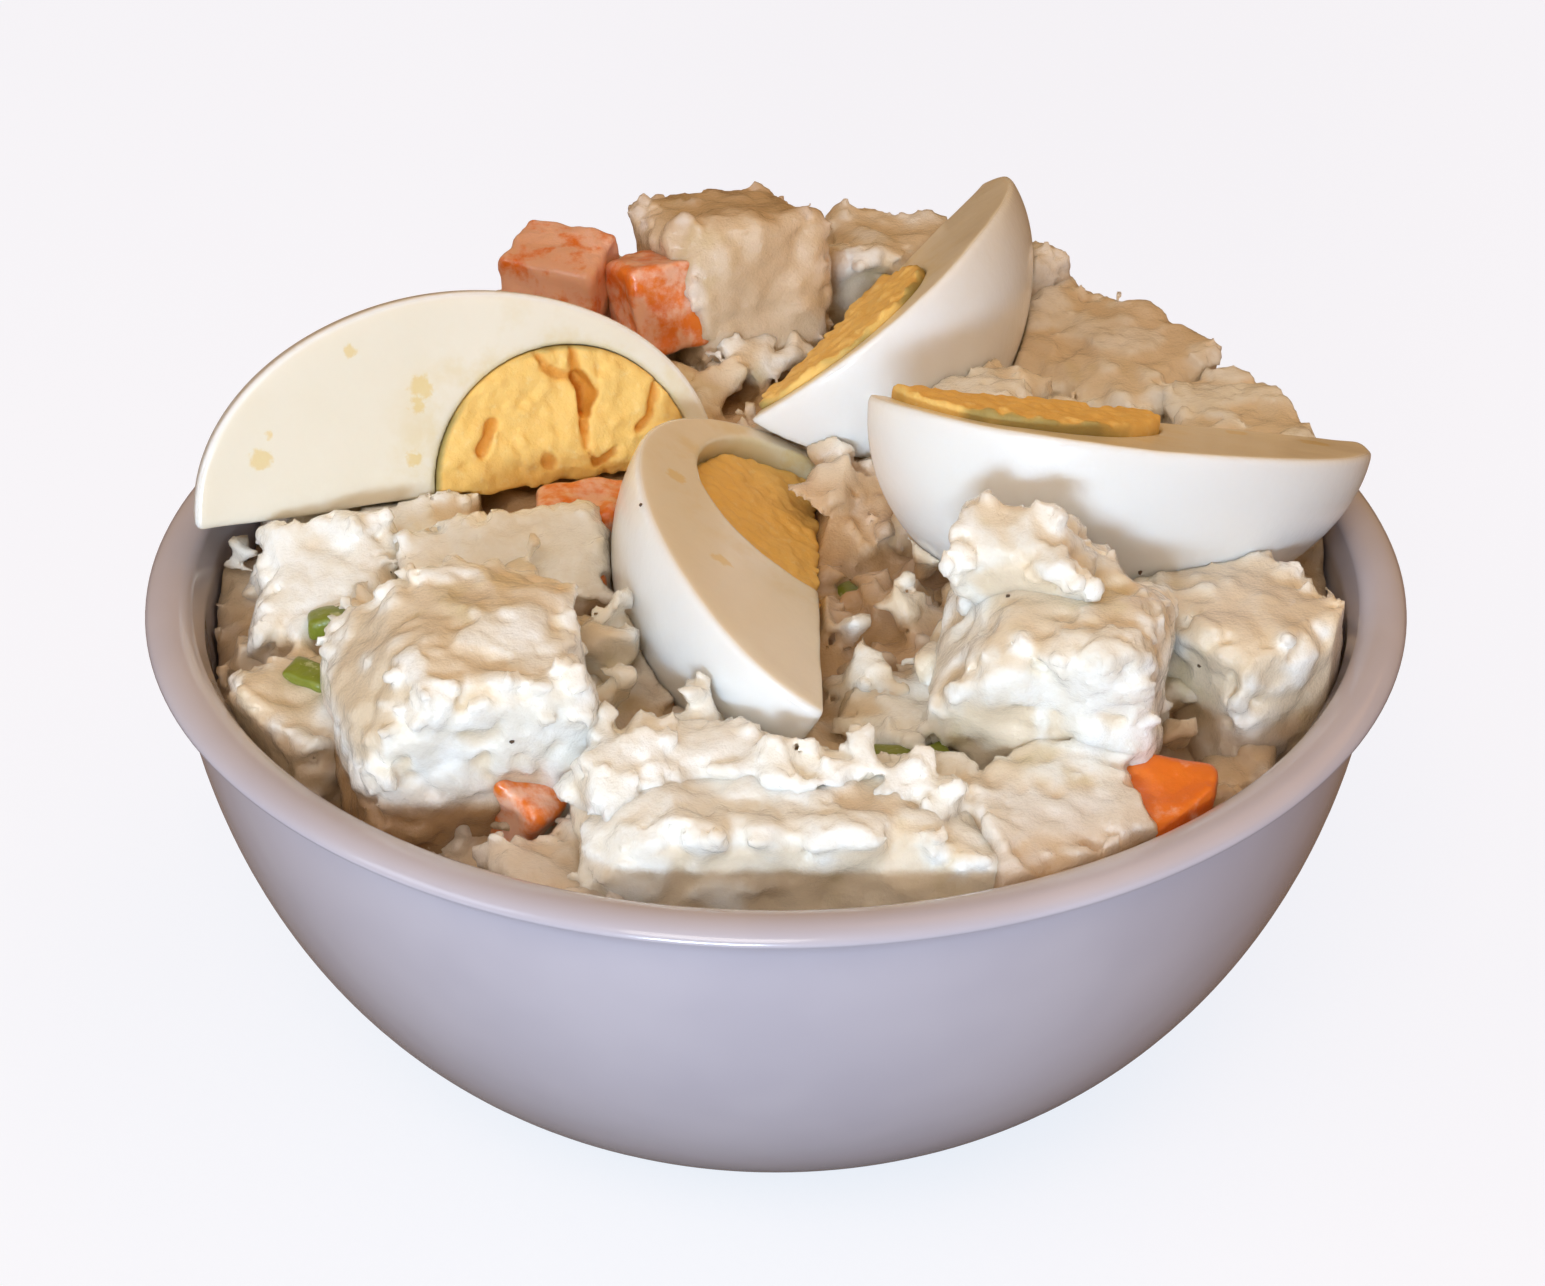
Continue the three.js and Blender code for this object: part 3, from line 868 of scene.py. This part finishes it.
def dressed(salad, field, owner, crown, seed, crumbs):
    """Potato with its dressing, and how mealy it is.

    Smooth flesh shows between raised mealy patches, and crumbs lie on torn edges.
    """
    large, middle, small, fine = salad.noises
    edges = edginess(field, salad.grid, EDGE_REACH)
    torn = smooth_step(0.2, 1.0, edges)
    upward = np.gradient(field, salad.grid.step, axis=2)
    patch = np.roll(large, PATCH_SHIFT, 0) + 0.6 * middle + 0.3 * small + 0.2 * fine + 0.2 * edges
    patch += crown * np.clip(upward, -0.5, 1)
    mealy = smooth_step(-0.2, 0.3, patch + 1.6 * (owner - 0.55))
    field = field + POTATO_SHRINK
    for height, waves in zip(POTATO_RELIEF, salad.noises):
        field = field - height * waves
    crests = (CREST - np.abs(small), CREST - np.abs(fine))
    field -= torn * (0.45 * middle + 0.25 * small + 0.45 * crests[0] + 0.5 * crests[1])
    shown = field + np.where(salad.above < BURIED, FAR, 0)

    def weights_of(near):
        where = tuple(near.T)
        height = smooth_step(-1.5, 2.0, salad.above[where])
        open_place = salad.beds[where] > 0.5
        inside = salad.room[where] < -1.0
        pull = 0.01 + np.clip(edges[where], 0, 2) ** 2 + 0.015 * mealy[where]
        return pull * height * open_place * inside

    marks = mealy.copy()
    scatter(shown, salad.grid, crumbs, CRUMB_SIZES, weights_of, seed, marks=marks)
    field = np.minimum(field, np.where(salad.above < BURIED, field, shown))
    field -= mealy * (COAT_THICKNESS + 0.25 * crests[0] + 0.25 * crests[1])
    return salad.finished(field), marks


def make_potatoes(salad, name, parts, limit, look, seed, crumbs):
    field, owner, crown = salad.filled(FAR), salad.filled(0), salad.filled(0)
    stamp_blocks(field, salad.grid, parts, seed, owner, crown)
    field, mealy = dressed(salad, field, owner, crown, seed + 500, crumbs)
    salad.add(name, field, mealy, look, limit, parts)


def painted_shade_strength(points, parts):
    """How strongly painted shade darkens the low sides and back of the part nearest to each point.
    """
    if not parts:
        return Part.wet_coat_and_shade  # as of a part that doesn't say
    away = [np.linalg.norm((points - part.at) / part.half, axis=1) for part in parts]
    return np.array([part.wet_coat_and_shade for part in parts])[np.argmin(away, axis=0)]


def painted_shade_places(points, wet_coat_and_shade):
    """How strongly painted shade turns the salad golden brown, from 0 to 1: in its hollows, on low
    sides by the wall in the rim's shade, and at the back.
    """
    x, y, z = points.T
    sunk = smooth_step(2.0, -2.5, z - dome(x, y))
    by_wall = smooth_step(38, 50, np.hypot(x, y))
    low = smooth_step(56, 47, z)
    behind = 0.6 * wet_coat_and_shade * smooth_step(20, 35, y)
    return np.clip(np.maximum(sunk, wet_coat_and_shade * by_wall * low) + behind, 0, 1.2)


def make_mash(salad, look):
    """The mashed salad between the pieces."""
    grid = salad.grid
    field = salad.above + 1.5 + 0.5 * salad.noises[0]

    def weights_of(near):
        where = tuple(near.T)
        return (salad.beds[where] > 0.9).astype(float) * (salad.room[where] < 0.5) + 1e-9

    mealy = salad.filled(0)
    scatter(field, grid, 600, MASH_LUMP_SIZES, weights_of, 22, soft=0.5, sink=0.5)
    scatter(field, grid, 2600, MASH_CRUMB_SIZES, weights_of, 21, soft=0.4, sink=0.4, marks=mealy)
    field = field + MASH_SHRINK
    for height, waves in zip(MASH_RELIEF, salad.noises[1:]):
        field = field - height * waves
    field = np.maximum(salad.finished(field), MASH_BOTTOM - grid.row(2))
    salad.add("salad_mash", field, mealy, look, LIMITS["mash"], [])


def bit(part, rounding, rough, seed):
    """The surface of one small cut piece."""
    reach = max(part.half) * 1.5 + 1
    low = np.array(part.at) - reach
    grid = Grid(low, low + 2 * reach, BIT_STEP)
    local = turned_back(*grid.axes(part.at), part.turn)
    field = chipped_block(part, local, np.random.default_rng(seed), rounding, 2)
    field -= rough * relief(grid, BIT_WAVES, seed)
    return surface(np.maximum(np.maximum(field, room(grid)), -egg_beds(grid)), grid)


def in_one(meshes):
    """Several meshes in one, as points and faces."""
    starts = np.cumsum([0] + [len(points) for points, _ in meshes])
    faces = [faces + start for (_, faces), start in zip(meshes, starts)]
    return np.concatenate([points for points, _ in meshes]), np.concatenate(faces)


def make_bits(name, parts, look, limit, rounding, rough, seed):
    """Small cut pieces, such as carrot and celery, as one mesh."""
    bits = [bit(part, rounding, rough, seed + i) for i, part in enumerate(parts)]
    made = piece(name, *in_one(bits), look, "salad", ["salad_heap"], limit)
    places = points_of(made)[:, None, :] - np.array([part.at for part in parts])
    nearest = np.argmin((places**2).sum(2), axis=1)
    set_values(made, "coat", np.array([part.coat for part in parts])[nearest])


def chip(rng, at, radius):
    """A small rough grain with twelve corners: its points and its three-sided faces."""
    golden = (1 + sqrt(5)) / 2
    points = [(0, a, b * golden) for a in (-1, 1) for b in (-1, 1)]
    points = np.array([p[k:] + p[:k] for k in range(3) for p in points])
    near = ((points[:, None] - points) ** 2).sum(2) < 4.5
    threes = combinations(range(12), 3)
    faces = np.array([(i, j, k) for i, j, k in threes if near[i, j] & near[j, k] & near[i, k]])
    a, b, c = (points[faces[:, k]] for k in range(3))
    inwards = (np.cross(b - a, c - a) * a).sum(1) < 0
    faces[inwards] = faces[inwards][:, ::-1]
    points = points / np.linalg.norm(points[0]) * rng.uniform(0.7, 1.2, (12, 1))
    return at + radius * points * rng.uniform(0.6, 1.0, 3), faces


def landed(solid, grid, start, target):
    """The place, if any, where a line from start towards target first meets a surface."""
    way = np.subtract(target, start)
    way = way / np.linalg.norm(way)
    line = np.array(start) + np.arange(*SIGHT)[:, None] * way
    high = grid.low + grid.step * (np.array(grid.shape) - 1)
    line = line[np.all((line > grid.low) & (line < high), axis=1)]
    hits = np.flatnonzero(sample(solid, grid, line) < 0)
    return line[hits[:1]]


def make_pepper(salad, look):
    """Flecks of pepper on the salad, where the camera's lines of sight meet it."""
    food = np.minimum(salad.solid, salad.beds)
    found = [landed(food, salad.grid, camera_place(), (x, FLECK_PLANE, z)) for x, z in FLECKS]
    rng = np.random.default_rng(900)
    grains = [chip(rng, at, rng.uniform(*FLECK_SIZES)) for at in np.concatenate(found)]
    piece("pepper_flecks", *in_one(grains), look, "salad", ["salad_heap"])


# ---- materials


def colour(code):
    """A linear colour from a hex code of the screen's colours."""
    parts = [int(code[i : i + 2], 16) / 255 for i in (0, 2, 4)]
    linear = [c / 12.92 if c <= 0.04045 else ((c + 0.055) / 1.055) ** 2.4 for c in parts]
    return (*linear, 1.0)


class Look:
    """A material's nodes, added one after another. Colours are given as hex codes."""

    def __init__(self, name):
        self.material = bpy.data.materials.new(name)
        self.material.use_nodes = True
        self.tree = self.material.node_tree
        self.tree.nodes.clear()
        self.shader = self.add("BsdfPrincipled", {}, subsurface_method="BURLEY")
        self.add("OutputMaterial", {"Surface": self.shader.outputs[0]})
        self.place = self.add("TexCoord", {}).outputs["Object"]

    def fill(self, node, inputs):
        """Sets a node's inputs, or links them to the outputs of others."""
        for key, item in inputs.items():
            if isinstance(item, bpy.types.NodeSocket):
                self.tree.links.new(item, node.inputs[key])
            elif item is not None:
                node.inputs[key].default_value = colour(item) if isinstance(item, str) else item

    def add(self, kind, inputs, **settings):
        node = self.tree.nodes.new("ShaderNode" + kind)
        for key, value in settings.items():
            setattr(node, key, value)
        self.fill(node, inputs)
        return node

    def set(self, **values):
        """Settings of the shader."""
        self.fill(self.shader, {key.replace("_", " "): value for key, value in values.items()})

    def noise(self, size, detail, roughness=0.55):
        """Noise from 0 to 1 whose lumps are about size millimetres."""
        inputs = {"Scale": 1 / (size * MM), "Detail": detail, "Roughness": roughness}
        return self.add("TexNoise", {"Vector": self.place, **inputs}).outputs[0]

    def value(self, name):
        """What set_values gave the mesh under a name."""
        return self.add("Attribute", {}, attribute_name=name).outputs["Fac"]

    def ramp(self, source, low, high):
        """0 below low and 1 above high."""
        inputs = {"Value": source, "From Min": low, "From Max": high}
        return self.add("MapRange", inputs, interpolation_type="SMOOTHSTEP").outputs[0]

    def math(self, operation, a, b):
        return self.add("Math", {0: a, 1: b}, operation=operation).outputs[0]

    def mix(self, share, a, b):
        """From colour a to colour b."""
        return self.add("Mix", {0: share, 6: a, 7: b}, data_type="RGBA").outputs[2]

    def between(self, share, low, high):
        """From one number to another."""
        return self.mix(share, (low, low, low, 1), (high, high, high, 1))

    def tinted(self, tone, share, strength, code):
        """A tone, turned towards another colour by strength where share is 1."""
        return self.mix(self.math("MULTIPLY", share, strength), tone, code)

    def bump(self, height, distance, strength, under=None):
        """Fine relief, distance millimetres high, over the relief under it."""
        inputs = {"Strength": strength, "Distance": distance * MM, "Height": height}
        return self.add("Bump", {**inputs, "Normal": under}).outputs[0]

    def finish(self, tone, roughness, normal, coat_normal=None):
        """Joins the nodes to the shader. The coat's relief is the surface's unless given."""
        coat_normal = normal if coat_normal is None else coat_normal
        inputs = {"Base Color": tone, "Roughness": roughness, "Normal": normal}
        self.fill(self.shader, {**inputs, "Coat Normal": coat_normal})
        return self.material


def glaze():
    look = Look("lilac_white_glaze")
    tint = look.ramp(look.noise(18, 2), 0.35, 0.65)
    tone = look.mix(tint, "C9C6D2", "C3C0CD")
    rough = look.between(look.noise(6, 2), 0.14, 0.24)
    look.set(Coat_Weight=0.5, Coat_Roughness=0.06)
    return look.finish(tone, rough, look.bump(look.noise(14, 2), 0.25, 0.35))


def potato_flesh():
    look = Look("dressed_potato")
    mealy = look.value("mealy")
    flesh = look.mix(look.noise(5, 4), "E3D2B4", "ECE0C9")
    olive = look.ramp(look.noise(7, 3), 0.56, 0.72)
    flesh = look.tinted(flesh, olive, 0.4, "CDBE80")
    cream = look.mix(look.ramp(look.noise(4, 4), 0.35, 0.65), "F8FBF8", "F0EEE3")
    # painted shade: where the value deep is high, the potato is turned towards golden brown
    tone = look.tinted(look.mix(mealy, flesh, cream), look.value("deep"), 0.76, "B98D58")
    rough = look.between(mealy, 0.28, 0.34)
    fine = look.bump(look.noise(0.42, 4, 0.7), 0.2, 0.6)
    normal = look.bump(look.noise(1.4, 3), 0.2, 0.5, fine)
    look.set(Subsurface_Weight=0.65, Subsurface_Radius=(1.0, 0.92, 0.8), Subsurface_Scale=0.0028,
             Coat_Weight=1.0, Coat_Roughness=0.08, Coat_IOR=1.7)
    wet_coat_and_shade = look.bump(look.noise(0.5, 3, 0.7), 0.35, 1.0, normal)
    return look.finish(tone, rough, normal, wet_coat_and_shade)


def egg_white():
    look = Look("boiled_egg_white")
    shell = look.ramp(look.value("near_shell"), -0.8, -0.1)
    tone = look.mix(look.noise(9, 3), "F4EEDD", "EFE8D2")
    by_yolk = look.ramp(look.value("near_yolk"), 9.0, 0.0)
    cloud = look.math("MULTIPLY", look.ramp(look.noise(5, 4, 0.6), 0.42, 0.7), by_yolk)
    tone = look.tinted(tone, cloud, 0.5, "E4CE8E")
    broken = look.math("MULTIPLY", look.noise(0.9, 4, 0.7), 0.9)
    smear = look.ramp(look.math("ADD", look.value("smear"), broken), 0.75, 1.05)
    tone = look.tinted(tone, smear, 0.6, "E8CB72")
    edge = look.ramp(look.value("near_yolk"), 0.7, 0.0)
    tone = look.tinted(tone, edge, 0.5, "CFC591")
    tone = look.mix(shell, tone, "F3F5F3")
    rough = look.between(shell, 0.34, 0.24)
    look.set(Subsurface_Weight=0.6, Subsurface_Radius=(1.0, 0.85, 0.7), Subsurface_Scale=0.003,
             Coat_Weight=0.35, Coat_Roughness=0.12)
    return look.finish(tone, rough, look.bump(look.noise(1.4, 4), 0.1, 0.35))


def egg_yolk():
    look = Look("boiled_egg_yolk")
    tone = look.mix(look.noise(2.6, 5, 0.6), "FAD480", "F5C566")
    pale = look.ramp(look.noise(1.1, 4), 0.55, 0.75)
    tone = look.tinted(tone, pale, 0.5, "FADF9C")
    # painted shade: the yolk's cracks are darkened to deep orange
    tone = look.mix(look.ramp(look.value("crack"), 0.1, 0.9), tone, "D98F2C")
    rim = look.ramp(look.value("near_white"), -0.75, -0.1)
    rim = look.math("MULTIPLY", rim, look.ramp(look.noise(9, 2), 0.38, 0.6))
    tone = look.tinted(tone, rim, 0.85, "8F8046")
    look.set(Roughness=0.72, Subsurface_Weight=0.3, Subsurface_Radius=(1.0, 0.5, 0.15),
             Subsurface_Scale=0.0018)
    fine = look.bump(look.noise(0.35, 3, 0.6), 0.12, 0.7)
    return look.finish(tone, None, look.bump(look.noise(1.0, 4), 0.2, 0.6, fine))


def pepper():
    look = Look("black_pepper")
    tone = look.mix(look.noise(0.3, 2), "3A2A1E", "6B5138")
    look.set(Roughness=0.5)
    return look.finish(tone, None, look.bump(look.noise(0.15, 2), 0.04, 0.5))


def carrot():
    look = Look("cooked_carrot")
    tone = look.mix(look.noise(3, 4), "EE7E28", "DE680F")
    coat = look.math("MULTIPLY", look.value("coat"), 0.4)
    cream = look.ramp(look.math("ADD", look.noise(2.6, 5, 0.6), coat), 0.62, 0.86)
    tone = look.tinted(tone, cream, 0.8, "F3C6AC")
    look.set(Roughness=0.3, Subsurface_Weight=0.4, Subsurface_Radius=(1.0, 0.4, 0.1),
             Subsurface_Scale=0.002, Coat_Weight=0.3, Coat_Roughness=0.15)
    return look.finish(tone, None, look.bump(look.noise(0.9, 4), 0.2, 0.6))


def celery():
    look = Look("diced_celery")
    tone = look.mix(look.noise(1.6, 4), "8B9636", "66741A")
    cream = look.ramp(look.noise(2.0, 5, 0.65), 0.55, 0.66)
    tone = look.tinted(tone, cream, 0.6, "CBCB98")
    look.set(Roughness=0.28, Subsurface_Weight=0.4, Subsurface_Radius=(0.5, 1.0, 0.2),
             Subsurface_Scale=0.002, Coat_Weight=0.3, Coat_Roughness=0.15)
    return look.finish(tone, None, look.bump(look.noise(0.7, 4), 0.2, 0.6))


# ---- floor, light and camera


def make_floor():
    """A wide floor that the camera sees brighter than the light makes it."""
    corners = [(-1, -1, 0), (1, -1, 0), (1, 1, 0), (-1, 1, 0)]
    mesh = bpy.data.meshes.new("floor")
    mesh.from_pydata([Vector(c) * FLOOR_REACH for c in corners], [], [(0, 1, 2, 3)])
    floor = linked("floor", mesh)
    look = Look("pale_floor")
    look.set(Roughness=0.7, Emission_Color="DAE2EC")
    seen = look.add("LightPath", {}).outputs["Is Camera Ray"]
    look.set(Emission_Strength=look.math("MULTIPLY", seen, 1.05))
    tone = look.mix(look.noise(60, 2), "8C7862", "897560")
    mesh.materials.append(look.finish(tone, None, None))


def area_light(name, azimuth, elevation, distance, size, power, code):
    """A panel of light, its place in degrees and metres. Azimuth 0 is in front, 90 at the right."""
    a, e = radians(azimuth), radians(elevation)
    way = Vector((sin(a) * cos(e), -cos(a) * cos(e), sin(e)))
    data = bpy.data.lights.new(name, "AREA")
    data.shape = "RECTANGLE"
    data.size, data.size_y = size
    data.energy = power
    data.color = colour(code)[:3]
    light = linked(name, data)
    light.location = Vector(LIT_PLACE) * MM + way * distance
    light.rotation_euler = way.to_track_quat("Z", "Y").to_euler()


def make_light():
    area_light("window", -11, 12, 0.9, (0.26, 0.08), 5.8, "CDE6FF")
    area_light("front", -12, 50, 1.0, (0.4, 0.4), 2.1, "FFF8EE")
    area_light("side", -60, 35, 1.0, (0.5, 0.4), 1.3, "DCEAFF")
    area_light("sky", 60, 10, 1.2, (0.9, 0.9), 1.7, "BCD2FF")
    area_light("room", 118, 55, 1.2, (1.0, 1.0), 1.9, "FFC382")
    world = bpy.data.worlds.new("studio")
    world.use_nodes = True
    background = world.node_tree.nodes["Background"]
    background.inputs["Color"].default_value = colour("BF9865")
    background.inputs["Strength"].default_value = 0.76
    bpy.context.scene.world = world


def camera_back():
    """The direction from the bowl to the camera."""
    return np.array([0, -cos(CAMERA_TILT), sin(CAMERA_TILT)])


def camera_place():
    return CAMERA_TARGET + camera_back() * CAMERA_DISTANCE


def make_camera():
    data = bpy.data.cameras.new("camera")
    data.sensor_width = SENSOR
    data.lens = FOCAL_PIXELS / PHOTO_WIDTH * SENSOR
    data.clip_start = 0.01
    camera = linked("camera", data)
    camera.location = Vector(camera_place()) * MM
    camera.rotation_euler = Vector(camera_back()).to_track_quat("Z", "Y").to_euler()
    bpy.context.scene.camera = camera


# ---- the whole


def make_salad():
    salad = Salad()
    flesh = potato_flesh()
    large = [part for part in POTATOES if part.half[0] > LARGE_PIECE]
    small = [part for part in POTATOES if part.half[0] <= LARGE_PIECE] + fillers() + SHARDS
    make_potatoes(salad, "potato_chunks", large, LIMITS["chunks"], flesh, seed=100, crumbs=650)
    make_potatoes(salad, "potato_pieces", small, LIMITS["pieces"], flesh, seed=300, crumbs=900)
    make_mash(salad, flesh)
    make_bits("carrot_cubes", CARROTS, carrot(), LIMITS["carrots"], 0.8, 0.4, 700)
    make_bits("celery_bits", CELERY, celery(), LIMITS["celery"], 0.6, 0.18, 800)
    make_pepper(salad, pepper())


def build():
    make_camera()
    make_light()
    make_floor()
    make_bowl(glaze())
    white_look, yolk_look = egg_white(), egg_yolk()
    for number, egg in enumerate(EGGS, 1):
        make_white(egg, number, white_look)
        make_yolk(egg, number, yolk_look, CRACKS if number == 1 else [])
    make_salad()
    scene = bpy.context.scene
    scene.view_settings.view_transform = "Standard"
    scene.cycles.max_bounces = 4
    scene.cycles.diffuse_bounces = 2
    scene.cycles.glossy_bounces = 2
    scene.cycles.transmission_bounces = 0


build()
